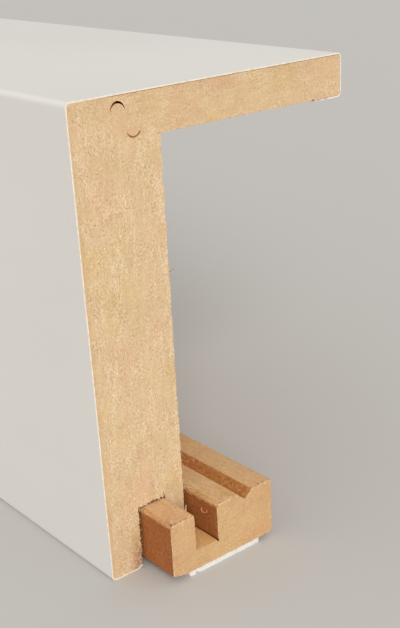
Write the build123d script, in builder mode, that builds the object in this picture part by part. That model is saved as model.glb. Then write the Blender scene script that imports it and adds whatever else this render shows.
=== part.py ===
"""Pipe cover trim: a white foil-wrapped MDF angle that hooks over a mounting rail on the floor.

Two MDF boards meet in an interlocking mitre and carry one wrap of foil. The foot of the front board has a
groove that drops over the ridge of the rail, and the rail is stuck down with a strip of foam tape.
X runs from the front face to the wall, Y along the trim and Z up. The floor is at Z = 0.
"""

import os

from build123d import *

# Overall sizes, in millimetres
length = 1200.0  # cover, rail and tape are cut to the same length
cover_height = 90.0  # floor to top of the cover
cover_depth = 62.0  # front face to wall
rail_overhang = 9.2  # how far the rail is slid out of the near end

# Boards and foil
foil = 0.35
front_thickness = 18.0
top_thickness = 7.4
corner_radius = 1.0  # outside of the foil, at the three upper corners
foot_radius = 0.9  # outside of the foil, at the bottom front corner
foil_return = 7.0  # foil folded back under the wall edge
lip_round = 1.8  # board edge between the foot and the groove
foil_end_angle = 50.0  # how far the foil follows that round, in degrees

# Interlocking mitre
lock_drop = 4.3  # middle of the lock below the top of the cover
tongue_width = 2.9
tongue_reach = 3.1
lock_shoulder = 0.6  # flat between the lower tongue and the inner mitre
upper_gap = 0.4  # open crescent over the upward tongue
lower_gap = 0.12  # glue line under the downward tongue

# Foot of the front board
lip_thickness = 7.0
groove_width = 6.5

# Mounting rail and tape
tape_thickness = 1.1
tape_width = 18.0
rail_height = 12.0
slot_depth = 7.75
block_width = 14.0
screw_line_width = 3.4
screw_line_depth = 1.5
bevel_width = 2.8  # bottom front edge of the rail
bevel_height = 0.7
worn_radius = 0.65  # top front edges of the ridge and the block
rail_foot_radius = 1.0  # bottom edge of the rail on the wall side

# Clearances between cover and rail
ridge_clearance = 0.6  # lip to ridge
leg_clearance = 0.2  # ridge to leg
slot_clearance = 0.9  # leg to block
head_gap = 0.4  # over the ridge
leg_gap = 0.8  # under the leg

# Positions across the section, from the front face and the floor
front_inside = foil + front_thickness
top_underside = cover_height - foil - top_thickness
groove_left = foil + lip_thickness
groove_right = groove_left + groove_width
ridge_left = groove_left + ridge_clearance
ridge_right = groove_right - leg_clearance
slot_right = front_inside + slot_clearance
rail_right = slot_right + block_width
rail_top = tape_thickness + rail_height
slot_floor = rail_top - slot_depth
groove_top = rail_top + head_gap
leg_bottom = slot_floor + leg_gap
screw_line = (slot_right + rail_right) / 2
rail_middle = (ridge_left + rail_right) / 2
lock_level = cover_height - lock_drop
mitre_end = front_inside - (lock_level - top_underside)
lock_middle = mitre_end - lock_shoulder - tongue_width

# The near end of the rail and the far end of the cover are the ends of the whole part
far_end = (length + rail_overhang) / 2


def section_plane(end):
    """Plane of a cross-section whose extrusion runs towards the near end."""
    return Plane(origin=(-cover_depth / 2, end, 0), x_dir=(1, 0, 0), z_dir=(0, -1, 0))


cover_plane = section_plane(far_end)
rail_plane = section_plane(far_end - rail_overhang)


def foil_path():
    """Outer line of the wrap, from the return under the wall edge round to the lip."""
    FilletPolyline(
        (cover_depth - foil_return, top_underside - foil),
        (cover_depth, top_underside - foil),
        (cover_depth, cover_height),
        (0, cover_height),
        (0, 0),
        (groove_left - lip_round, 0),
        radius=[corner_radius, corner_radius, corner_radius, foot_radius],
    )
    CenterArc((groove_left - lip_round, foil + lip_round), foil + lip_round, -90, foil_end_angle)


def board_section():
    """Both boards together, inside the foil, with the groove cut in the foot."""
    with BuildSketch() as section:
        with BuildLine():
            FilletPolyline(
                (front_inside, leg_bottom),
                (front_inside, top_underside),
                (cover_depth - foil, top_underside),
                (cover_depth - foil, cover_height - foil),
                (foil, cover_height - foil),
                (foil, foil),
                (groove_left, foil),
                (groove_left, groove_top),
                (groove_right, groove_top),
                (groove_right, leg_bottom),
                radius=[
                    0,
                    corner_radius - foil,
                    corner_radius - foil,
                    corner_radius - foil,
                    foot_radius - foil,
                    lip_round,
                    0,
                    0,
                ],
            )
            Line((groove_right, leg_bottom), (front_inside, leg_bottom))
        make_face()
    return section.sketch


def above_joint(upper_tip, lower_tip):
    """Everything on the top board's side of the joint, for tongue tips at these levels."""
    tongue_radius = tongue_width / 2
    tongue_left = lock_middle - tongue_width
    tongue_right = lock_middle + tongue_width
    with BuildSketch() as region:
        with BuildLine():
            Polyline(
                (0, cover_height),
                (lock_drop, lock_level),
                (tongue_left, lock_level),
                (tongue_left, upper_tip - tongue_radius),
            )
            ThreePointArc(
                (tongue_left, upper_tip - tongue_radius),
                (tongue_left + tongue_radius, upper_tip),
                (lock_middle, upper_tip - tongue_radius),
            )
            Line((lock_middle, upper_tip - tongue_radius), (lock_middle, lower_tip + tongue_radius))
            ThreePointArc(
                (lock_middle, lower_tip + tongue_radius),
                (lock_middle + tongue_radius, lower_tip),
                (tongue_right, lower_tip + tongue_radius),
            )
            Polyline(
                (tongue_right, lower_tip + tongue_radius),
                (tongue_right, lock_level),
                (mitre_end, lock_level),
                (front_inside, top_underside),
                (cover_depth, top_underside),
                (cover_depth, cover_height),
                (0, cover_height),
            )
        make_face()
    return region.sketch


os.makedirs("parts", exist_ok=True)

# Front board, with its tongue stopping short of the socket above it
with BuildPart() as front_board:
    with BuildSketch(cover_plane):
        add(board_section())
        add(
            above_joint(lock_level + tongue_reach - upper_gap, lock_level - tongue_reach - lower_gap),
            mode=Mode.SUBTRACT,
        )
    extrude(amount=length)

# Top board, with the socket for that tongue and a tongue of its own
with BuildPart() as top_board:
    with BuildSketch(cover_plane):
        add(board_section())
        add(above_joint(lock_level + tongue_reach, lock_level - tongue_reach), mode=Mode.INTERSECT)
    extrude(amount=length)

# Foil, one strip wrapped round both boards
with BuildPart() as foil_wrap:
    with BuildSketch(cover_plane):
        with BuildLine():
            foil_path()
            offset(amount=foil, side=Side.LEFT)
        make_face()
    extrude(amount=length)

# Mounting rail: ridge, slot and a block with a screw line along its top
with BuildPart() as mounting_rail:
    with BuildSketch(rail_plane):
        with BuildLine():
            FilletPolyline(
                (ridge_right, slot_floor),
                (ridge_right, rail_top),
                (ridge_left, rail_top),
                (ridge_left, tape_thickness + bevel_height),
                (ridge_left + bevel_width, tape_thickness),
                (rail_right, tape_thickness),
                (rail_right, rail_top),
                (screw_line + screw_line_width / 2, rail_top),
                (screw_line, rail_top - screw_line_depth),
                (screw_line - screw_line_width / 2, rail_top),
                (slot_right, rail_top),
                (slot_right, slot_floor),
                radius=[0, worn_radius, 0, 0, rail_foot_radius, 0, 0, 0, 0, worn_radius],
            )
            Line((slot_right, slot_floor), (ridge_right, slot_floor))
        make_face()
    extrude(amount=length)

# Foam tape under the rail
with BuildPart() as mounting_tape:
    with BuildSketch(rail_plane):
        with Locations((rail_middle, 0)):
            Rectangle(tape_width, tape_thickness, align=(Align.CENTER, Align.MIN))
    extrude(amount=length)

pieces = {
    "front_board": front_board,
    "top_board": top_board,
    "foil_wrap": foil_wrap,
    "mounting_rail": mounting_rail,
    "mounting_tape": mounting_tape,
}
for name, piece in pieces.items():
    piece.part.label = name
    export_step(piece.part, f"parts/{name}.step")
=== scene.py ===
import math
from typing import Callable, NamedTuple

import bpy
import numpy as np
from mathutils import Matrix, Vector, noise
from mathutils.geometry import delaunay_2d_cdt


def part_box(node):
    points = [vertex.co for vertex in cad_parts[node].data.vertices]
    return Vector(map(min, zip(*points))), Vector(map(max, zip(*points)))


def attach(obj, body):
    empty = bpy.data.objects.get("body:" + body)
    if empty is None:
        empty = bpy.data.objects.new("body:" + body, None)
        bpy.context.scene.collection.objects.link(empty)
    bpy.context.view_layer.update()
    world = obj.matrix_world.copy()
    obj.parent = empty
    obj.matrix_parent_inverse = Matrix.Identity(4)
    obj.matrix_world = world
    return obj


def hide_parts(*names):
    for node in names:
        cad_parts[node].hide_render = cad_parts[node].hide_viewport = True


# A pipe cover trim: sawn MDF boards locked in a mitre and wrapped in satin foil, over a rail on foam tape

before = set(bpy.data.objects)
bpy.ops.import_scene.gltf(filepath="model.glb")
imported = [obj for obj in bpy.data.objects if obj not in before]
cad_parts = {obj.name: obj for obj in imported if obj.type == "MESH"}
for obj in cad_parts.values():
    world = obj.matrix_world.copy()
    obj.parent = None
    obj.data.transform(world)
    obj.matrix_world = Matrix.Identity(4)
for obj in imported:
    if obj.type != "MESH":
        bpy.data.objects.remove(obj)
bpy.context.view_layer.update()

mm = 0.001

# Boxes of the frame's nodes, which give the main sizes and places
foil_low, foil_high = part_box("foil_wrap")
board_low, board_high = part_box("front_board")
rail_low, rail_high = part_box("mounting_rail")
tape_low, tape_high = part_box("mounting_tape")

front = foil_low.x
back = foil_high.x
cover_top = foil_high.z
cover_near, cover_far = foil_low.y, foil_high.y
front_inside = board_high.x
top_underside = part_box("top_board")[0].z

# Wrap: the foil on its glue line, the bends that it takes and the corners of the boards inside them
foil = board_low.x - front
glue_line = 0.07 * mm
sheet = foil - glue_line
corner_radius = 1.0 * mm
foot_radius = 0.9 * mm
foil_return = 7.0 * mm
lip_round = 1.8 * mm
foil_end_angle = math.radians(50)
flap_lift = 0.3 * mm
bend = corner_radius - sheet
nip = bend * (1 - math.cos(math.pi / 4))
board_left = front + sheet
board_top = cover_top - sheet

# Interlocking mitre
lock_drop = 4.3 * mm
tongue_width = 2.9 * mm
tongue_radius = tongue_width / 2
tongue_reach = 3.1 * mm
lock_shoulder = 0.6 * mm
upper_gap = 0.4 * mm
lower_gap = 0.04 * mm
lock_level = cover_top - lock_drop
mitre_end = front_inside - (lock_level - top_underside)
lock_middle = mitre_end - lock_shoulder - tongue_width
tongue_left = lock_middle - tongue_width
tongue_right = lock_middle + tongue_width

# Groove at the foot of the front board, between its lip and its leg
lip_thickness = 7.0 * mm
groove_width = 6.5 * mm
head_gap = 0.14 * mm
groove_left = front + foil + lip_thickness
groove_right = groove_left + groove_width
groove_top = rail_high.z + head_gap

# Rail: a ridge in the groove, a slot for the leg and a block with a screw line
leg_clearance = 0.2 * mm
slot_clearance = 0.9 * mm
slot_depth = 7.75 * mm
leg_gap = 0.8 * mm
screw_line_width = 3.4 * mm
screw_line_depth = 1.5 * mm
bevel_width = 2.8 * mm
bevel_height = 0.7 * mm
worn_radius = 0.65 * mm
rail_foot_radius = 1.0 * mm
ridge_right = groove_right - leg_clearance
slot_right = front_inside + slot_clearance
slot_floor = rail_high.z - slot_depth
leg_bottom = slot_floor + leg_gap
screw_line = (slot_right + rail_high.x) / 2


def srgb(red, green, blue):
    """A screen colour from 0 to 255, as the linear colour that shaders take."""
    return tuple(
        channel / 255 / 12.92 if channel <= 10 else ((channel / 255 + 0.055) / 1.055) ** 2.4
        for channel in (red, green, blue)
    ) + (1.0,)


def blend(first, second, share):
    """A colour that lies this share of the way from the first to the second."""
    return tuple(a + (b - a) * share for a, b in zip(first, second))


class Nodes:
    """Short calls that add linked nodes to one shader tree."""

    def __init__(self, owner):
        owner.use_nodes = True
        self.tree = owner.node_tree
        self.tree.nodes.clear()

    def add(self, kind, sockets=None, **settings):
        node = self.tree.nodes.new("ShaderNode" + kind)
        for key, value in settings.items():
            setattr(node, key, value)
        for key, value in (sockets or {}).items():
            if isinstance(value, bpy.types.NodeSocket):
                self.tree.links.new(value, node.inputs[key])
            else:
                node.inputs[key].default_value = value
        return node

    def places(self, per_mm=(1.0, 1.0, 1.0)):
        """Object coordinates in so many texture units a millimetre along X, Y and Z."""
        where = self.add("TexCoord").outputs["Object"]
        factors = tuple(factor / mm for factor in per_mm)
        return self.add("VectorMath", {0: where, 1: factors}, operation="MULTIPLY").outputs[0]

    def noise(self, where, scale=1.0, detail=2.0, roughness=0.5):
        sockets = {"Vector": where, "Scale": scale, "Detail": detail, "Roughness": roughness}
        return self.add("TexNoise", sockets).outputs["Fac"]

    def ramp(self, value, low, high, to_low=0.0, to_high=1.0):
        """A smooth step of value from low to high."""
        sockets = {"Value": value, "From Min": low, "From Max": high, "To Min": to_low, "To Max": to_high}
        return self.add("MapRange", sockets, interpolation_type="SMOOTHSTEP").outputs["Result"]

    def math(self, operation, first, second=0.0):
        return self.add("Math", {0: first, 1: second}, operation=operation).outputs[0]

    def mix(self, factor, first, second, how="MIX"):
        node = self.add("Mix", {0: factor, 6: first, 7: second}, data_type="RGBA", blend_type=how)
        return node.outputs[2]

    def bump(self, height, distance):
        return self.add("Bump", {"Height": height, "Distance": distance, "Strength": 1.0}).outputs["Normal"]

    def surface(self, sockets):
        shader = self.add("BsdfPrincipled", sockets)
        self.add("OutputMaterial", {"Surface": shader.outputs[0]})


def flecks(nodes, where, size, share):
    """Scattered grains of uneven size, 1 inside a grain; this share of the cells hold one."""
    cells = nodes.add("TexVoronoi", {"Vector": where, "Scale": 1.0}, feature="F1")
    lot = nodes.add("SeparateColor", {0: cells.outputs["Color"]})
    growth = nodes.ramp(lot.outputs["Green"], 0, 1, 0.6, 1.3)
    distance = nodes.math("DIVIDE", cells.outputs["Distance"], growth)
    inside_grain = nodes.ramp(distance, size, 0.3 * size)
    return nodes.math("MULTIPLY", inside_grain, nodes.ramp(lot.outputs["Red"], 1 - share, 1.02 - share))


def between(nodes, value, low, high, blur):
    """1 where a value in millimetres lies from low to high."""
    above = nodes.ramp(value, (low - blur) / mm, (low + blur) / mm)
    below = nodes.ramp(value, (high + blur) / mm, (high - blur) / mm)
    return nodes.math("MULTIPLY", above, below)


def patch(nodes, low, high, blur):
    """1 inside a rectangle of a sawn end between two corners (x, z), blurred by so much along each."""
    place = nodes.add("SeparateXYZ", {0: nodes.places()}).outputs
    across = between(nodes, place["X"], low[0], high[0], blur[0])
    upward = between(nodes, place["Z"], low[1], high[1], blur[1])
    return nodes.math("MULTIPLY", across, upward)


# Marks: each of these gives a function that takes the nodes and a colour, and returns it with the mark on it


def bright_grains(share, shade):
    """Small bright fibre ends, in groups over a sawn end."""

    def mark(nodes, colour):
        grains = flecks(nodes, nodes.places((1.2, 1.0, 1.0)), 0.22, share)
        groups = nodes.ramp(nodes.noise(nodes.places((0.2, 0.2, 0.2))), 0.4, 0.56, 0.0, 0.85)
        return nodes.mix(nodes.math("MULTIPLY", grains, groups), colour, shade)

    return mark


def pale_chips(low, high, shade):
    """A patch of a sawn end that is covered with pale chips."""

    def mark(nodes, colour):
        chips = nodes.math("MULTIPLY", flecks(nodes, nodes.places((1.5, 1.0, 2.0)), 0.42, 0.55), 0.8)
        share = nodes.math("MULTIPLY", chips, patch(nodes, low, high, (0.15 * mm, 0.6 * mm)))
        return nodes.mix(share, colour, shade)

    return mark


def uneven_darkening(low, high, shade):
    """A patch of a sawn end that is unevenly darker."""

    def mark(nodes, colour):
        spots = nodes.noise(nodes.places((2.2, 1.0, 2.0)), 1.0, 3.0, 0.7)
        spots = nodes.ramp(spots, 0.35, 0.66, 0.2, 0.9)
        share = nodes.math("MULTIPLY", spots, patch(nodes, low, high, (1.3 * mm, 3.0 * mm)))
        return nodes.mix(share, colour, shade)

    return mark


def smooth_patch(low, high, shade):
    """A smoother, pinker patch of a sawn end."""

    def mark(nodes, colour):
        share = nodes.math("MULTIPLY", patch(nodes, low, high, (0.15 * mm, 0.4 * mm)), 0.5)
        return nodes.mix(share, colour, shade)

    return mark


def skin(surface, depth, shade):
    """The denser, darker layer of an upright board, as deep as this from its surface across X."""

    def mark(nodes, colour):
        place = nodes.add("SeparateXYZ", {0: nodes.places()}).outputs["X"]
        away = nodes.math("SUBTRACT", place, surface / mm)
        wander = nodes.noise(nodes.places((0.5, 0.5, 0.5)), 1.0, 3.0, 0.6)
        reach = nodes.math("MULTIPLY", nodes.ramp(wander, 0.2, 0.8, 0.4, 1.6), depth / mm)
        share = nodes.ramp(nodes.math("DIVIDE", away, reach), 1.0, 0.1, 0.0, 0.28)
        return nodes.mix(share, colour, shade)

    return mark


def edge_band(level, rise, low_x, high_x, width, shade, share):
    """An uneven band that rises (1) or falls (-1) from an edge at this level, as torn fibres leave it."""

    def mark(nodes, colour):
        place = nodes.add("SeparateXYZ", {0: nodes.places()}).outputs
        away = nodes.math("MULTIPLY", nodes.math("SUBTRACT", place["Z"], level / mm), rise)
        fray = nodes.noise(nodes.places((1.6, 1.0, 1.6)), 1.0, 3.0, 0.7)
        reach = nodes.ramp(fray, 0.35, 0.7, 0.05 * width / mm, 1.8 * width / mm)
        band = nodes.ramp(nodes.math("DIVIDE", away, reach), 1.1, 0.7, 0.0, share)
        band = nodes.math("MULTIPLY", band, between(nodes, place["X"], low_x, high_x, 0.15 * mm))
        return nodes.mix(band, colour, shade)

    return mark


def glue_arc(centre_x, centre_z, radius, width, shade):
    """Amber glue pressed out along the lower half of a round seam."""

    def mark(nodes, colour):
        flat = nodes.places((1.0, 0.0, 1.0))
        centre = (centre_x / mm, 0, centre_z / mm)
        arm = nodes.add("VectorMath", {0: flat, 1: centre}, operation="SUBTRACT").outputs[0]
        length = nodes.add("VectorMath", {0: arm}, operation="LENGTH").outputs["Value"]
        off_seam = nodes.math("ABSOLUTE", nodes.math("SUBTRACT", length, radius / mm))
        patchy = nodes.ramp(nodes.noise(nodes.places((1.1, 1.1, 1.1))), 0.3, 0.6, 0.5, 1.0)
        height = nodes.add("SeparateXYZ", {0: arm}).outputs["Z"]
        share = nodes.math("MULTIPLY", nodes.ramp(off_seam, width / mm, 0.3 * width / mm), patchy)
        share = nodes.math("MULTIPLY", share, nodes.ramp(height, -0.45, -0.8))
        return nodes.mix(share, colour, shade)

    return mark


def mdf(name, shades, lie, relief, coarse=1.0, marks=()):
    """Raw MDF in three shades: its tone, its pale fibres and its dark bark specks.

    lie gives the texture units a millimetre along X, Y and Z of its fibres and of its pressed layers, coarse
    scales its contrast, and marks are put on it one after another.
    """
    tone, pale, dark = shades
    fibres, layers = lie
    made = bpy.data.materials.new(name)
    nodes = Nodes(made)
    grain_place = nodes.places(fibres)
    grain = nodes.math(
        "ADD",
        nodes.math("MULTIPLY", nodes.noise(grain_place, 1.3, 3.0, 0.6), 0.78),
        nodes.math("MULTIPLY", nodes.noise(nodes.places(layers)), 0.22),
    )
    cloud = nodes.noise(nodes.places(), 0.16, 3.0, 0.6)
    warmth = nodes.noise(nodes.places((0.13, 0.1, 0.11)))
    smoothness = nodes.noise(nodes.places((0.4, 0.25, 0.22)), 1.0, 3.0, 0.6)
    clusters = nodes.ramp(nodes.noise(nodes.places((0.3, 0.3, 0.3))), 0.36, 0.68, 0.42, 0.95)
    pale_grains = nodes.math("MULTIPLY", flecks(nodes, grain_place, 0.36, 0.45), clusters)
    bark = flecks(nodes, nodes.places((1.5, 1.2, 1.4)), 0.26, 0.16)
    hollows, crests = blend(tone, dark, 0.42 * coarse), blend(tone, pale, 0.8 * coarse)
    colour = nodes.mix(nodes.ramp(grain, 0.32, 0.68), hollows, crests)
    colour = nodes.mix(nodes.ramp(smoothness, 0.36, 0.62, 0.0, 0.55), colour, tone)
    colour = nodes.mix(nodes.ramp(warmth, 0.45, 0.68), colour, (1.0, 0.93, 0.95, 1.0), "MULTIPLY")
    colour = nodes.mix(nodes.ramp(warmth, 0.45, 0.28), colour, (0.985, 0.965, 0.87, 1.0), "MULTIPLY")
    colour = nodes.mix(nodes.ramp(cloud, 0.4, 0.75, 0.0, 0.14), colour, dark)
    colour = nodes.mix(nodes.math("MULTIPLY", pale_grains, 0.85 * coarse), colour, pale)
    colour = nodes.mix(nodes.math("MULTIPLY", bark, 0.6 * coarse), colour, dark)
    for mark in marks:
        colour = mark(nodes, colour)
    height = nodes.math("ADD", grain, nodes.math("MULTIPLY", pale_grains, 0.35))
    height = nodes.math("SUBTRACT", height, nodes.math("MULTIPLY", bark, 0.6))
    nodes.surface({
        "Base Color": colour,
        "Roughness": 0.85,
        "Specular IOR Level": 0.2,
        "Normal": nodes.bump(height, relief),
    })
    return made


def white_foil():
    """Satin wrapping foil with a very fine orange-peel surface."""
    made = bpy.data.materials.new("white_foil")
    nodes = Nodes(made)
    peel = nodes.noise(nodes.places(), 0.9)
    haze = nodes.noise(nodes.places((0.02, 0.008, 0.02)), 1.0, 3.0, 0.5)
    nodes.surface({
        "Base Color": nodes.mix(nodes.ramp(haze, 0.3, 0.7), srgb(228, 223, 217), srgb(232, 228, 222)),
        "Roughness": nodes.ramp(haze, 0.3, 0.7, 0.3, 0.36),
        "Specular IOR Level": 0.35,
        "Normal": nodes.bump(peel, 0.004 * mm),
    })
    return made


def foil_edge():
    """Cut edge of the foil: white all through, dulled by the saw."""
    made = bpy.data.materials.new("foil_edge")
    nodes = Nodes(made)
    scuff = nodes.noise(nodes.places((0.9, 0.9, 0.9)), 1.0, 3.0, 0.6)
    nodes.surface({
        "Base Color": nodes.mix(nodes.ramp(scuff, 0.35, 0.7), srgb(247, 235, 218), srgb(228, 212, 190)),
        "Roughness": 0.7,
        "Normal": nodes.bump(scuff, 0.03 * mm),
    })
    return made


def foam_tape():
    """White foam of the tape, with small open cells."""
    made = bpy.data.materials.new("foam_tape")
    nodes = Nodes(made)
    where = nodes.places((4.5, 4.5, 4.5))
    cells = nodes.add("TexVoronoi", {"Vector": where, "Scale": 1.0}).outputs["Distance"]
    soil = nodes.noise(nodes.places((0.3, 0.3, 0.3)), 1.0, 3.0, 0.6)
    nodes.surface({
        "Base Color": nodes.mix(nodes.ramp(soil, 0.45, 0.8), srgb(236, 233, 228), srgb(216, 208, 196)),
        "Roughness": 0.8,
        "Normal": nodes.bump(nodes.ramp(cells, 0.05, 0.6), 0.025 * mm),
    })
    return made


def loose_fibre(name, first, second):
    """Torn wood fibre, mottled along its length."""
    made = bpy.data.materials.new(name)
    nodes = Nodes(made)
    mottle = nodes.noise(nodes.places((2.0, 2.0, 2.0)))
    nodes.surface({"Base Color": nodes.mix(nodes.ramp(mottle, 0.3, 0.7), first, second), "Roughness": 0.8})
    return made


# Fibres lie flat in a board, so the grain is drawn out in its plane and close across it
upright_grain = (2.6, 1.8, 1.6), (1.3, 1.0, 0.32)
level_grain = (1.6, 1.8, 2.6), (0.32, 1.0, 1.3)
lengthwise_grain = (1.5, 1.1, 1.5), (1.2, 0.15, 1.2)

# Shades of MDF: the tone, the pale fibres and the dark specks of each surface
board_shades = srgb(222, 189, 145), srgb(246, 224, 186), srgb(164, 121, 78)
top_board_shades = srgb(219, 185, 141), srgb(243, 220, 182), srgb(161, 118, 76)
face_shades = srgb(206, 170, 124), srgb(228, 198, 152), srgb(150, 108, 68)
milled_shades = srgb(164, 99, 52), srgb(190, 128, 76), srgb(112, 60, 28)
rail_shades = srgb(211, 171, 122), srgb(238, 208, 160), srgb(156, 108, 64)
rail_top_shades = srgb(214, 172, 125), srgb(231, 199, 150), srgb(146, 96, 52)
slot_shades = srgb(222, 173, 112), srgb(236, 198, 142), srgb(146, 96, 52)
worn_shades = srgb(199, 151, 101), srgb(222, 180, 128), srgb(138, 88, 50)
kerf_shades = srgb(176, 115, 60), srgb(206, 152, 94), srgb(112, 66, 30)
# Painted shadow: a dark brown for the notch at the foot of the rail's slot wall, where shade falls
notch_shadow_shades = srgb(126, 70, 34), srgb(150, 92, 48), srgb(84, 44, 20)
frayed_shades = srgb(226, 193, 147), srgb(245, 221, 181), srgb(184, 138, 90)

# Marks on the front board's end: the skin under the foil, the tongue, fibre ends, a darker foot, and the
# groove's head with its gap's painted shadow
dense_skin = skin(board_left, 1.6 * mm, srgb(207, 167, 120))
smooth_tongue = smooth_patch(
    (tongue_left, lock_level - tongue_reach), (lock_middle, lock_level + tongue_reach), srgb(217, 179, 137)
)
fibre_ends = bright_grains(0.2, srgb(252, 236, 206))
# Darker brown, in uneven spots, at the foot beside the lip's edge by the groove
darker_foot = uneven_darkening(
    (groove_left - 1.9 * mm, -3 * mm), (groove_left + 2 * mm, 6.5 * mm), srgb(158, 108, 63)
)
# Torn dark fibres along the groove's head, with the shadow of the narrow gap over the rail painted into them
torn_head_and_gap_shadow = edge_band(groove_top, 1, groove_left, groove_right, 0.36 * mm, srgb(100, 56, 26), 0.9)

# Marks on the top board's end: its fibre ends, and the glue under its tongue, which both boards carry
few_fibre_ends = bright_grains(0.09, srgb(250, 230, 196))
pressed_glue = glue_arc(
    lock_middle + tongue_radius, lock_level - tongue_reach + tongue_radius, tongue_radius,
    0.24 * mm, srgb(158, 104, 34),
)

# Marks on the rail: its chipped ridge, its frayed top edge and its worn upper edges
ridge_chips = pale_chips(
    (rail_low.x + 1.5 * mm, rail_high.z - 2 * mm), (ridge_right, rail_high.z), srgb(248, 224, 182)
)
frayed_top = edge_band(rail_high.z, -1, rail_low.x, rail_high.x, 0.3 * mm, srgb(242, 216, 172), 0.7)
worn_edge = edge_band(
    rail_high.z - worn_radius, -1, rail_low.x - 1 * mm, rail_high.x + 1 * mm, 0.35 * mm, worn_shades[0], 0.8
)

# Surfaces of MDF: shades, lie of the fibres, relief, contrast and marks
MDF_SURFACES = {
    "board_end_upright": (
        board_shades, upright_grain, 0.10 * mm, 1.0,
        [dense_skin, smooth_tongue, pressed_glue, fibre_ends, darker_foot, torn_head_and_gap_shadow],
    ),
    "board_end_level": (top_board_shades, level_grain, 0.08 * mm, 0.7, [pressed_glue, few_fibre_ends]),
    "board_face": (face_shades, lengthwise_grain, 0.02 * mm, 0.7),
    "board_milled": (milled_shades, lengthwise_grain, 0.05 * mm, 0.6),
    "rail_end": (rail_shades, level_grain, 0.05 * mm, 0.48, [ridge_chips, frayed_top]),
    "rail_face": (rail_top_shades, lengthwise_grain, 0.03 * mm, 0.65),
    "rail_arris": (worn_shades, lengthwise_grain, 0.06 * mm, 1.4),
    "rail_kerf": (kerf_shades, lengthwise_grain, 0.06 * mm, 1.1),
    # Painted shadow in the notch at the foot of the slot wall
    "rail_scorched": (notch_shadow_shades, lengthwise_grain, 0.04 * mm, 0.8),
    "frayed_rim": (frayed_shades, lengthwise_grain, 0.08 * mm, 1.2),
    "rail_slot": (slot_shades, lengthwise_grain, 0.04 * mm, 0.6),
    "rail_milled": (milled_shades, lengthwise_grain, 0.03 * mm, 0.8, [worn_edge]),
}
MATERIALS = {name: mdf(name, *facts) for name, facts in MDF_SURFACES.items()}
MATERIALS |= {
    "white_foil": white_foil(),
    "foil_edge": foil_edge(),
    "foam_tape": foam_tape(),
    "pale_fibre": loose_fibre("pale_fibre", srgb(240, 214, 170), srgb(222, 186, 138)),
    "bark_fibre": loose_fibre("bark_fibre", srgb(120, 76, 40), srgb(86, 50, 26)),
    "tan_fibre": loose_fibre("tan_fibre", srgb(240, 172, 122), srgb(220, 148, 98)),
    "grey_fibre": loose_fibre("grey_fibre", srgb(176, 170, 162), srgb(150, 142, 132)),
}


class Run(NamedTuple):
    """One kind of run along an outline, and what the saw does to its edge."""

    spacing: float  # of its points
    broken: float = 0.0  # how far the edge is broken back
    hanging: float = 0.0  # how far fibres are left hanging


RUNS = {
    "face": Run(0.22 * mm, 0.28 * mm, 0.06 * mm),
    "milled": Run(0.3 * mm, 0.22 * mm),
    "slot": Run(0.3 * mm, 0.15 * mm),
    "arris": Run(0.2 * mm, 0.15 * mm),
    "kerf": Run(0.25 * mm, 0.25 * mm),
    "notch_shadow": Run(0.3 * mm, 0.1 * mm),
    "crest": Run(0.3 * mm, 0.2 * mm),
    "groove": Run(0.09 * mm, 0.4 * mm, 0.2 * mm),
    "head": Run(0.09 * mm, 0.12 * mm, 0.1 * mm),
    "joint": Run(0.8 * mm),
    "wrapped": Run(1.5 * mm),
    "foil": Run(1.0 * mm),
    "return": Run(0.2 * mm),
    "foam": Run(0.3 * mm, 0.06 * mm),
}

# Spacing of points along arcs and along the length, and the shortest run
ARC_STEP = 0.12 * mm
LONG_STEP = 60 * mm
SHORTEST_RUN = 0.01 * mm

# Rings of points beside an end, and how far in from it the saw's wear goes
END_RINGS = [0.0, 0.1 * mm, 0.25 * mm, 0.5 * mm, 1.0 * mm, 2.5 * mm, 8.0 * mm]
WEAR_REACH = 2 * mm
FRAY_REACH = 0.2 * mm
HANGING_FADE = 0.3 * mm
BROKEN_FADE = 0.4 * mm


def whole(x, z):
    """The set-back of an end that is cut clean."""
    return 0.0


class Sawn(NamedTuple):
    """The sawn ends of a piece."""

    material: str
    depth: float  # of the fibrous relief
    spacing: float  # of the relief's points
    stretch: tuple  # units of relief a millimetre in X and Z
    seed: int
    set_back: Callable = whole  # how far the end is broken away at a place of the outline


def rounded(before, place, after, radius):
    """Start, end, centre and sweep of the arc that rounds a corner between its two neighbours."""
    to_before = before - place
    to_after = after - place
    to_before /= np.linalg.norm(to_before)
    to_after /= np.linalg.norm(to_after)
    half = math.acos(np.clip(to_before @ to_after, -1, 1)) / 2
    reach = radius / math.tan(half)
    middle = to_before + to_after
    length = np.linalg.norm(middle)
    centre = place + middle / length * radius / math.sin(half) if radius > 0 else place
    return place + to_before * reach, place + to_after * reach, centre, math.pi - 2 * half


def arc_points(start, end, centre, sweep, radius):
    """Points along an arc, without its end."""
    steps = max(3, math.ceil(sweep * radius / ARC_STEP))
    arm = start - centre
    to_end = end - centre
    turn = math.copysign(sweep, arm[0] * to_end[1] - arm[1] * to_end[0])
    points = []
    for step in range(steps):
        cos, sin = math.cos(turn * step / steps), math.sin(turn * step / steps)
        points.append(centre + np.array([arm[0] * cos - arm[1] * sin, arm[0] * sin + arm[1] * cos]))
    return points


def outline(corners):
    """Points of a closed outline and their kinds, through corners (x, z, radius, kind of the next run)."""
    places = [np.array(corner[:2]) for corner in corners]
    arcs = []
    for index, corner in enumerate(corners):
        following = places[(index + 1) % len(places)]
        arcs.append(rounded(places[index - 1], places[index], following, corner[2]))
    points, kinds = [], []
    for index, (_, _, radius, kind) in enumerate(corners):
        start, end, centre, sweep = arcs[index]
        if radius > 0:
            points += arc_points(start, end, centre, sweep, radius)
        run = arcs[(index + 1) % len(arcs)][0] - end
        length = np.linalg.norm(run)
        if length > SHORTEST_RUN:
            steps = max(1, math.ceil(length / RUNS[kind].spacing))
            points += [end + run * step / steps for step in range(steps)]
        kinds += [kind] * (len(points) - len(kinds))
    return np.array(points), kinds


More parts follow.
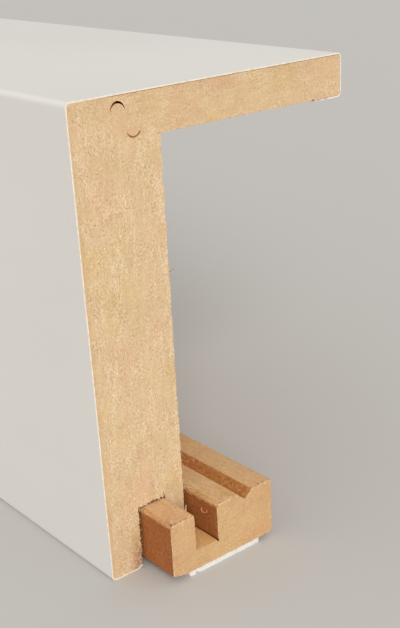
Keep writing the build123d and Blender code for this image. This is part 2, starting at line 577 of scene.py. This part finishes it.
def outward(points):
    """Unit normals of a closed outline that runs anticlockwise."""
    along = np.roll(points, -1, axis=0) - np.roll(points, 1, axis=0)
    normals = np.stack([along[:, 1], -along[:, 0]], axis=1)
    return normals / np.linalg.norm(normals, axis=1)[:, None]


def inside(points, places):
    """Which places lie inside the closed outline."""
    x, z = places[:, 0:1], places[:, 1:2]
    x0, z0 = points[:, 0], points[:, 1]
    x1, z1 = np.roll(x0, -1), np.roll(z0, -1)
    spans = (z0 > z) != (z1 > z)
    crossing = x0 + (z - z0) * (x1 - x0) / np.where(z1 == z0, 1.0, z1 - z0)
    return np.sum(spans & (x < crossing), axis=1) % 2 == 1


def relief_points(points, spacing, seed):
    """Jittered points that fill the outline and keep off its edge, for the relief of a sawn end."""
    generator = np.random.default_rng(seed)
    low, high = points.min(axis=0), points.max(axis=0)
    rows = np.arange(low[1], high[1], spacing * 0.87)
    columns = np.arange(low[0], high[0], spacing)
    grid = np.array([(x + (row % 2) * spacing / 2, z) for row, z in enumerate(rows) for x in columns])
    grid += generator.uniform(-0.25, 0.25, grid.shape) * spacing
    grid = grid[inside(points, grid)]
    apart = np.linalg.norm(grid[:, None, :] - points[None, :, :], axis=2)
    return grid[apart.min(axis=1) > spacing * 0.45]


def fibre_depth(x, z, seed, stretch):
    """Depth of a sawn end's fibrous relief at a place, from 0 to 1."""
    where = Vector((x / mm * stretch[0], seed * 7.3, z / mm * stretch[1]))
    rough = 0.5 + 0.5 * noise.fractal(where, 0.9, 2.0, 3, noise_basis="PERLIN_ORIGINAL")
    return min(max(rough, 0.0), 1.0)


def ragged(x, z, seed, from_end, run):
    """How far a point stands out near a sawn end: broken edges stand back and loose fibres hang out."""
    if from_end > WEAR_REACH or run.broken + run.hanging == 0:
        return 0.0
    place = Vector((x / mm, seed, z / mm))
    chips = 0.3 + 0.6 * noise.noise(place * 0.9) + 0.7 * noise.noise(place * 2.7)
    teeth = noise.noise(place * 3.9 + Vector((40, 0, 0))) + 0.12
    return (
        run.hanging * max(0.0, teeth) * math.exp(-from_end / HANGING_FADE)
        - run.broken * min(max(chips, 0.0), 1.0) * math.exp(-from_end / BROKEN_FADE)
    )


def ring_places(near, far):
    """The rings of points along a piece: where each is, how far from its end and which way is inward."""
    steps = max(2, math.ceil((far - near - 2 * END_RINGS[-1]) / LONG_STEP))
    middles = np.linspace(near + END_RINGS[-1], far - END_RINGS[-1], steps + 1)[1:-1]
    rings = [(near + ring, ring, 1.0) for ring in END_RINGS]
    rings += [(y, LONG_STEP, 0.0) for y in middles]
    rings += [(far - ring, ring, -1.0) for ring in reversed(END_RINGS)]
    return rings


def ring_vertices(points, kinds, rings, sawn):
    """The outline on every ring, ragged and set back near the ends."""
    vertices = []
    normals = outward(points)
    for y, from_end, inward in rings:
        for (x, z), normal, kind in zip(points, normals, kinds):
            stand_out = ragged(x, z, sawn.seed + inward, from_end, RUNS[kind])
            shift = inward * sawn.set_back(x, z) * max(0.0, 1 - from_end / WEAR_REACH)
            vertices.append((x + normal[0] * stand_out, y + shift, z + normal[1] * stand_out))
    return vertices


def side_faces(kinds, rings, materials, rims):
    """The faces between the rings, and the material of each."""
    count = len(kinds)
    faces, surfaces = [], []
    for ring in range(len(rings) - 1):
        first, second = ring * count, (ring + 1) * count
        beside_end = min(rings[ring][1], rings[ring + 1][1]) < FRAY_REACH
        used = {**materials, **rims} if beside_end else materials
        for index in range(count):
            following = (index + 1) % count
            faces.append((first + index, second + index, second + following, first + following))
            surfaces.append(used[kinds[index]])
    return faces, surfaces


def sawn_end(vertices, start, count, fill, end, inward, sawn):
    """Closes the ring that starts at a vertex: adds the relief's points and returns the triangles."""
    border = [Vector((vertex[0] / mm, vertex[2] / mm)) for vertex in vertices[start:start + count]]
    flat = border + [Vector((x / mm, z / mm)) for x, z in fill]
    edges = [(index, (index + 1) % count) for index in range(count)]
    placed, _, triangles, origins, _, _ = delaunay_2d_cdt(flat, edges, [], 1, 1e-6)
    numbers = []
    for place, origin in zip(placed, origins):
        if origin and origin[0] < count:
            numbers.append(start + origin[0])
            continue
        x, z = place[0] * mm, place[1] * mm
        sunk = sawn.depth * fibre_depth(x, z, sawn.seed + inward, sawn.stretch)
        numbers.append(len(vertices))
        vertices.append((x, end + inward * (sunk + sawn.set_back(x, z)), z))
    corners = [[numbers[index] for index in triangle] for triangle in triangles]
    return corners if inward > 0 else [corner[::-1] for corner in corners]


def prism(name, corners, near, far, materials, sawn, rims=None):
    """A long piece of one section with sawn ends.

    materials gives the material of each kind of run, and rims the material beside an end of the kinds of run
    whose edge is frayed there.
    """
    rims = rims or {}
    points, kinds = outline(corners)
    rings = ring_places(near, far)
    vertices = ring_vertices(points, kinds, rings, sawn)
    faces, surfaces = side_faces(kinds, rings, materials, rims)
    fill = relief_points(points, sawn.spacing, sawn.seed)
    last_ring = (len(rings) - 1) * len(points)
    for start, end, inward in ((0, near, 1.0), (last_ring, far, -1.0)):
        triangles = sawn_end(vertices, start, len(points), fill, end, inward, sawn)
        faces += triangles
        surfaces += [sawn.material] * len(triangles)
    piece = mesh_piece(name, vertices, faces, surfaces)
    piece.data.shade_smooth()
    piece.data.set_sharp_from_angle(angle=math.radians(32))
    return piece


def mesh_piece(name, vertices, faces, surfaces):
    """A mesh object, with the name of a material for each face."""
    mesh = bpy.data.meshes.new(name)
    mesh.from_pydata(vertices, [], faces)
    used = sorted(set(surfaces))
    for material in used:
        mesh.materials.append(MATERIALS[material])
    mesh.polygons.foreach_set("material_index", [used.index(surface) for surface in surfaces])
    mesh.update()
    piece = bpy.data.objects.new(name, mesh)
    bpy.context.scene.collection.objects.link(piece)
    return piece


def stand_for(piece, node):
    """Puts a piece in the place of its node."""
    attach(piece, "root")
    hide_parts(node)


def front_board():
    tip = lock_level + tongue_reach - upper_gap
    socket = lock_level - tongue_reach - lower_gap
    head_round, leg_round = 0.2 * mm, 0.3 * mm
    corners = [
        (board_left, sheet, foot_radius - sheet, "wrapped"),
        (groove_left, sheet, lip_round, "groove"),
        (groove_left, groove_top, head_round, "head"),
        (groove_right, groove_top, head_round, "milled"),
        (groove_right, leg_bottom, leg_round, "milled"),
        (front_inside, leg_bottom, leg_round, "face"),
        (front_inside, top_underside, 0, "joint"),
        (mitre_end, lock_level, 0, "joint"),
        (tongue_right, lock_level, 0, "joint"),
        (tongue_right, socket, tongue_radius, "joint"),
        (lock_middle, socket, tongue_radius, "joint"),
        (lock_middle, tip, tongue_radius, "joint"),
        (tongue_left, tip, tongue_radius, "joint"),
        (tongue_left, lock_level, 0, "joint"),
        (front + lock_drop, lock_level, 0, "joint"),
        (board_left + nip, board_top - nip, 0, "wrapped"),
        (board_left, board_top - 2 * nip, bend, "wrapped"),
    ]
    kinds = {
        "wrapped": "board_face",
        "groove": "board_milled",
        "head": "board_milled",
        "milled": "board_milled",
        "face": "board_face",
        "joint": "board_milled",
    }
    ends = Sawn("board_end_upright", depth=0.09 * mm, spacing=0.45 * mm, stretch=(1.6, 0.7), seed=11)
    board = prism("sawn_front_board", corners, cover_near, cover_far, kinds, ends)
    stand_for(board, "front_board")


def top_board():
    """The glue line shows from a little way past the front corner, and round the wall edge."""
    right = back - foil
    glue_from, glue_full = front + 4.5 * mm, front + 9 * mm
    socket = lock_level + tongue_reach
    tip = lock_level - tongue_reach
    corners = [
        (board_left + nip, board_top - nip, 0, "joint"),
        (front + lock_drop, lock_level, 0, "joint"),
        (tongue_left, lock_level, 0, "joint"),
        (tongue_left, socket, tongue_radius, "joint"),
        (lock_middle, socket, tongue_radius, "joint"),
        (lock_middle, tip, tongue_radius, "joint"),
        (tongue_right, tip, tongue_radius, "joint"),
        (tongue_right, lock_level, 0, "joint"),
        (mitre_end, lock_level, 0, "joint"),
        (front_inside, top_underside, 0, "face"),
        (back - foil_return, top_underside, 0, "wrapped"),
        (right, top_underside, corner_radius - foil, "wrapped"),
        (right, cover_top - foil, corner_radius - foil, "wrapped"),
        (glue_full, cover_top - foil, 0, "wrapped"),
        (glue_from, board_top, 0, "wrapped"),
        (board_left + 2 * nip, board_top, bend, "wrapped"),
    ]
    kinds = {"wrapped": "board_face", "face": "board_face", "joint": "board_milled"}
    ends = Sawn("board_end_level", depth=0.09 * mm, spacing=0.45 * mm, stretch=(0.7, 1.6), seed=23)
    board = prism("sawn_top_board", corners, cover_near, cover_far, kinds, ends)
    stand_for(board, "top_board")


def chipped_return(x, z):
    """The foil's cut edge under the wall side is chipped away, but for two nubs and its wall end."""
    chip = 0.5 * mm
    along = x - (back - foil_return)
    if z > top_underside + sheet or along < -0.2 * mm:
        return 0.0
    nubs = ((-0.2 * mm, 0.55 * mm), (1.6 * mm, 2.5 * mm), (3.4 * mm, foil_return))
    if any(first <= along <= last for first, last in nubs):
        return 0.0
    return chip


def foil_wrap():
    centre_x, centre_z = groove_left - lip_round, sheet + lip_round
    outer, inner = sheet + lip_round, lip_round
    half_turn = math.tan(foil_end_angle / 2)
    sin, cos = math.sin(foil_end_angle), math.cos(foil_end_angle)
    under = top_underside - foil
    corners = [
        (back - foil_return, under, 0.1 * mm, "return"),
        (back, under, corner_radius, "foil"),
        (back, cover_top, corner_radius, "foil"),
        (front, cover_top, corner_radius, "foil"),
        (front, 0.0, foot_radius, "foil"),
        (centre_x + outer * half_turn, 0.0, outer, "foil"),
        (centre_x + (outer + flap_lift) * sin, centre_z - (outer + flap_lift) * cos, 0, "foil"),
        (centre_x + (inner + flap_lift) * sin, centre_z - (inner + flap_lift) * cos, 0, "wrapped"),
        (centre_x + inner * half_turn, sheet, inner, "wrapped"),
        (board_left, sheet, foot_radius - sheet, "wrapped"),
        (board_left, board_top, bend, "wrapped"),
        (back - sheet, board_top, bend, "wrapped"),
        (back - sheet, under + sheet, bend, "return"),
        (back - foil_return, under + sheet, 0, "foil"),
    ]
    kinds = {"foil": "white_foil", "wrapped": "white_foil", "return": "white_foil"}
    ends = Sawn(
        "foil_edge", depth=0.0, spacing=0.5 * mm, stretch=(1.0, 1.0), seed=37, set_back=chipped_return
    )
    wrap = prism("satin_foil_wrap", corners, cover_near, cover_far, kinds, ends)
    stand_for(wrap, "foil_wrap")


def mounting_rail():
    low, high = rail_low.z, rail_high.z
    left, right = rail_low.x, rail_high.x
    screw_left, screw_right = screw_line - screw_line_width / 2, screw_line + screw_line_width / 2
    arris = 0.2 * mm
    bevel_round = 0.4 * mm
    kerf, kerf_round = 0.35 * mm, 0.1 * mm
    crest = 0.25 * mm
    worn_foot = high - 1.1 * worn_radius
    corners = [
        (left, low + bevel_height, arris, "milled"),
        (left + bevel_width, low, bevel_round, "face"),
        (right, low, rail_foot_radius, "milled"),
        (right, high, arris, "face"),
        (screw_right, high, arris, "kerf"),
        (screw_line, high - screw_line_depth, arris, "kerf"),
        (screw_left, high, 0, "crest"),
        (screw_left - crest, high, 0, "face"),
        (slot_right, high, worn_radius, "arris"),
        (slot_right, worn_foot, 0, "milled"),
        # The notch at the foot of the slot wall is painted dark as its shadow
        (slot_right, slot_floor, 0, "notch_shadow"),
        (slot_right, slot_floor - kerf, kerf_round, "notch_shadow"),
        (slot_right - kerf, slot_floor - kerf, kerf_round, "notch_shadow"),
        (slot_right - kerf, slot_floor, kerf_round, "slot"),
        (ridge_right, slot_floor, arris, "milled"),
        (ridge_right, high, arris, "face"),
        (left, high, worn_radius, "arris"),
        (left, worn_foot, 0, "milled"),
    ]
    kinds = {
        "face": "rail_face",
        "milled": "rail_milled",
        "slot": "rail_slot",
        "arris": "rail_arris",
        "kerf": "rail_kerf",
        "notch_shadow": "rail_scorched",
        "crest": "rail_slot",
    }
    rims = {"milled": "frayed_rim"}
    ends = Sawn("rail_end", depth=0.05 * mm, spacing=0.4 * mm, stretch=(0.8, 1.6), seed=41)
    rail = prism("milled_mounting_rail", corners, rail_low.y, rail_high.y, kinds, ends, rims)
    stand_for(rail, "mounting_rail")


def torn_tape_end(x, z):
    """The tape was cut by hand: a notch near its left end, and an edge that wanders."""
    along = (x - tape_low.x) / mm
    notch = 0.7 * max(0.0, 1 - abs(along - 2.2) / 0.5)
    return (notch + 0.12 * (1 + noise.noise(Vector((along * 0.8, 3.1, 0))))) * mm


def mounting_tape():
    slant = 0.3 * mm
    upper_round, lower_round = 0.1 * mm, 0.2 * mm
    corners = [
        (tape_low.x + slant, tape_low.z, lower_round, "foam"),
        (tape_high.x, tape_low.z, lower_round, "foam"),
        (tape_high.x, tape_high.z, upper_round, "foam"),
        (tape_low.x, tape_high.z, upper_round, "foam"),
    ]
    kinds = {"foam": "foam_tape"}
    ends = Sawn(
        "foam_tape", depth=0.03 * mm, spacing=0.3 * mm, stretch=(0.9, 0.9), seed=53, set_back=torn_tape_end
    )
    tape = prism("foam_mounting_tape", corners, tape_low.y, tape_high.y, kinds, ends)
    stand_for(tape, "mounting_tape")


class Debris:
    """Loose fibres and crumbs, gathered into one mesh."""

    def __init__(self):
        self.vertices, self.faces, self.surfaces = [], [], []

    def strand(self, points, width, surface, tip=0.4):
        """A fibre through these points, three-sided, whose tip has this share of its width."""
        start = len(self.vertices)
        for index, point in enumerate(points):
            ahead = points[min(index + 1, len(points) - 1)] - points[max(index - 1, 0)]
            side = ahead.cross(Vector((0.31, 0.2, 0.93))).normalized()
            turn = Matrix.Rotation(2 * math.pi / 3, 3, ahead.normalized())
            reach = side * width / 2 * (1 - (1 - tip) * index / (len(points) - 1))
            for _ in range(3):
                self.vertices.append(point + reach)
                reach = turn @ reach
        for ring in range(len(points) - 1):
            first, second = start + 3 * ring, start + 3 * ring + 3
            for side in range(3):
                other = (side + 1) % 3
                self.faces.append((first + side, first + other, second + other, second + side))
        last = start + 3 * (len(points) - 1)
        self.faces.append((start + 2, start + 1, start))
        self.faces.append((last, last + 1, last + 2))
        self.surfaces += [surface] * (3 * (len(points) - 1) + 2)

    def fibre(self, root, bends, width, surface, tip=0.4):
        """A fibre from its root, through bends in millimetres."""
        self.strand([root + Vector(bend) * mm for bend in bends], width, surface, tip)

    def crumb(self, place, size, generator, surface):
        """An uneven chip with six corners."""
        start = len(self.vertices)
        for axis in range(3):
            for sign in (-1, 1):
                arm = Vector((0, 0, 0))
                arm[axis] = sign * size / 2 * generator.uniform(0.5, 1.0)
                self.vertices.append(place + arm)
        for x in (0, 1):
            for y in (2, 3):
                for z in (4, 5):
                    corner = (start + x, start + y, start + z)
                    odd = (x + y + z) % 2
                    self.faces.append(corner if odd else corner[::-1])
                    self.surfaces.append(surface)


def fuzz(debris, generator, count, first, last, lean, length):
    """Short fibres along a sawn edge, from first to last, that lean about one way."""
    for _ in range(count):
        root = first.lerp(last, generator.uniform(0, 1))
        way = (lean + Vector(generator.uniform(-0.7, 0.7, 3))).normalized()
        bow = Vector(generator.uniform(-0.3, 0.3, 3))
        reach = length * generator.uniform(0.4, 1.0)
        points = [root + (way * step + bow * step * step) * reach for step in (0.0, 0.35, 0.7, 1.0)]
        debris.strand(points, generator.uniform(0.04, 0.08) * mm, "pale_fibre")


def edge_fuzz(debris, generator):
    """Fuzz on the near end: the inner face, the underside of the top, the lip and the groove's head."""
    face_y, groove_y = cover_near + 0.1 * mm, cover_near + 0.05 * mm
    inner_foot = Vector((front_inside - 0.1 * mm, face_y, leg_bottom + 1 * mm))
    inner_head = Vector((front_inside - 0.1 * mm, face_y, top_underside - 0.5 * mm))
    under_left = Vector((front_inside + 0.5 * mm, face_y, top_underside + 0.1 * mm))
    under_right = Vector((back - foil_return, face_y, top_underside + 0.1 * mm))
    lip_low = Vector((groove_left - 0.05 * mm, groove_y, 3.0 * mm))
    lip_high = Vector((groove_left - 0.05 * mm, groove_y, groove_top))
    head_right = Vector((groove_right, groove_y, groove_top + 0.05 * mm))
    fuzz(debris, generator, 90, inner_foot, inner_head, Vector((1, -0.5, 0)), 0.45 * mm)
    fuzz(debris, generator, 60, under_left, under_right, Vector((0, -0.5, -1)), 0.45 * mm)
    fuzz(debris, generator, 30, lip_low, lip_high, Vector((1, -0.4, 0)), 0.5 * mm)
    fuzz(debris, generator, 26, lip_high, head_right, Vector((0, -0.4, -1)), 0.55 * mm)


def single_fibres(debris):
    """The few fibres that stand out by themselves."""
    end = cover_near

    # On the inner face, two thirds of the way up
    root = Vector((front_inside - 0.1 * mm, end + 0.1 * mm, 57.7 * mm))
    bends = ((0, 0, 0), (0.3, -0.1, 0.12), (0.65, -0.2, 0.32), (1.0, -0.3, 0.6))
    debris.fibre(root, bends, 0.2 * mm, "grey_fibre", tip=0.7)

    # A curl on the wall of the rail's slot, open at its top
    centre = Vector((slot_right, end - 5.3 * mm, rail_high.z - 2.85 * mm))
    bends = (
        (0.05, 0.9, 0.25), (-0.15, 0.88, -0.1), (-0.25, 0.65, -0.4), (-0.3, 0.3, -0.53), (-0.3, -0.05, -0.5),
        (-0.3, -0.4, -0.35), (-0.25, -0.7, -0.1), (-0.2, -0.88, 0.2), (-0.15, -0.92, 0.5),
    )
    debris.fibre(centre, bends, 0.19 * mm, "tan_fibre", tip=0.8)

    # Upright on the ridge's right edge
    root = Vector((ridge_right - 0.05 * mm, end - 6.6 * mm, rail_high.z - 0.2 * mm))
    bends = ((0, 0, 0), (0.1, -0.05, 0.5), (0.02, -0.1, 1.0), (0.15, -0.05, 1.4))
    debris.fibre(root, bends, 0.26 * mm, "pale_fibre", tip=0.6)

    # A dark splinter over the groove's corner
    corner = Vector((groove_right - 0.3 * mm, end - 0.02 * mm, groove_top))
    bends = ((0, 0, 0), (0.05, -0.05, 0.4), (-0.05, -0.05, 0.8), (0.02, 0, 1.15))
    debris.fibre(corner, bends, 0.2 * mm, "bark_fibre")

    # A splinter torn up where the two boards meet on the inside
    corner = Vector((front_inside, end - 0.02 * mm, top_underside))
    bends = ((-0.9, 0, 0.3), (-0.4, -0.05, 0.2), (0.2, -0.1, 0.08), (0.7, -0.1, -0.04))
    debris.fibre(corner, bends, 0.24 * mm, "pale_fibre")


def rail_crumbs(debris, generator):
    """Crumbs on the sawn top edge of the rail, beside the screw line."""
    for _ in range(44):
        on_ridge = generator.uniform(rail_low.x, ridge_right)
        on_block = generator.uniform(slot_right, rail_high.x)
        across = generator.choice([on_ridge, on_block])
        if abs(across - screw_line) < screw_line_width / 2:
            continue
        place = Vector((across, rail_low.y + generator.uniform(0.2, 0.5) * mm, rail_high.z))
        size = generator.uniform(0.2, 0.42) * mm
        surface = "bark_fibre" if generator.uniform() < 0.5 else "pale_fibre"
        debris.crumb(place, size, generator, surface)


def sawn_edge_debris():
    debris = Debris()
    generator = np.random.default_rng(5)
    edge_fuzz(debris, generator)
    single_fibres(debris)
    rail_crumbs(debris, generator)
    piece = mesh_piece("sawn_edge_debris", debris.vertices, debris.faces, debris.surfaces)
    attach(piece, "root")


def floor():
    made = bpy.data.materials.new("pale_floor")
    nodes = Nodes(made)
    nodes.surface({"Base Color": srgb(198, 195, 190), "Roughness": 1.0, "Specular IOR Level": 0.0})
    radius, sides = 60.0, 96
    turns = [2 * math.pi * side / sides for side in range(sides)]
    rim = [(radius * math.cos(turn), radius * math.sin(turn), 0) for turn in turns]
    mesh = bpy.data.meshes.new("floor")
    mesh.from_pydata(rim, [], [range(sides)])
    mesh.materials.append(made)
    ground = bpy.data.objects.new("floor", mesh)
    bpy.context.scene.collection.objects.link(ground)


def studio():
    """Even, pale surroundings whose backdrop carries on the floor's tone."""
    world = bpy.data.worlds.new("studio")
    bpy.context.scene.world = world
    nodes = Nodes(world)
    height = nodes.add("SeparateXYZ", {0: nodes.add("TexCoord").outputs["Generated"]}).outputs["Z"]
    colour = nodes.mix(nodes.ramp(height, 0.0, 0.5), srgb(219, 219, 218), srgb(240, 240, 240))
    path = nodes.add("LightPath").outputs
    seen = nodes.math("ADD", path["Is Camera Ray"], path["Is Glossy Ray"])
    seen = nodes.math("ADD", seen, path["Is Transmission Ray"])
    colour = nodes.mix(seen, colour, srgb(216, 213, 207))
    background = nodes.add("Background", {"Color": colour, "Strength": 0.8})
    nodes.add("OutputWorld", {"Surface": background.outputs[0]})


def key_light():
    """A broad light from the front left."""
    lamp = bpy.data.lights.new("key", "SUN")
    lamp.angle = math.radians(30)
    lamp.energy = 1.82
    light = bpy.data.objects.new("key", lamp)
    light.rotation_euler = Vector((0.52, 0.96, -0.62)).to_track_quat("-Z", "Y").to_euler()
    bpy.context.scene.collection.objects.link(light)


def camera():
    """The photograph's camera: its place from the foot of the near end, and its lens in pixels."""
    image_height = 628
    focal, middle_y = 1073.1, 410
    place = Vector((-91.90, -145.88, 119.11)) * mm
    heading, pitch, roll = math.radians(38.37), math.radians(-25.95), math.radians(3.11)
    data = bpy.data.cameras.new("camera")
    data.sensor_width = 36.0
    data.lens = focal / image_height * data.sensor_width
    data.shift_y = (middle_y - image_height / 2) / image_height
    data.clip_start = 5 * mm
    camera_object = bpy.data.objects.new("camera", data)
    turn = (
        Matrix.Rotation(-heading, 4, "Z")
        @ Matrix.Rotation(math.pi / 2 + pitch, 4, "X")
        @ Matrix.Rotation(-roll, 4, "Z")
    )
    camera_object.matrix_world = Matrix.Translation(Vector((front, cover_near, 0)) + place) @ turn
    bpy.context.scene.collection.objects.link(camera_object)
    bpy.context.scene.camera = camera_object


front_board()
top_board()
foil_wrap()
mounting_rail()
mounting_tape()
sawn_edge_debris()
floor()
studio()
key_light()
camera()
bpy.context.scene.view_settings.view_transform = "Standard"
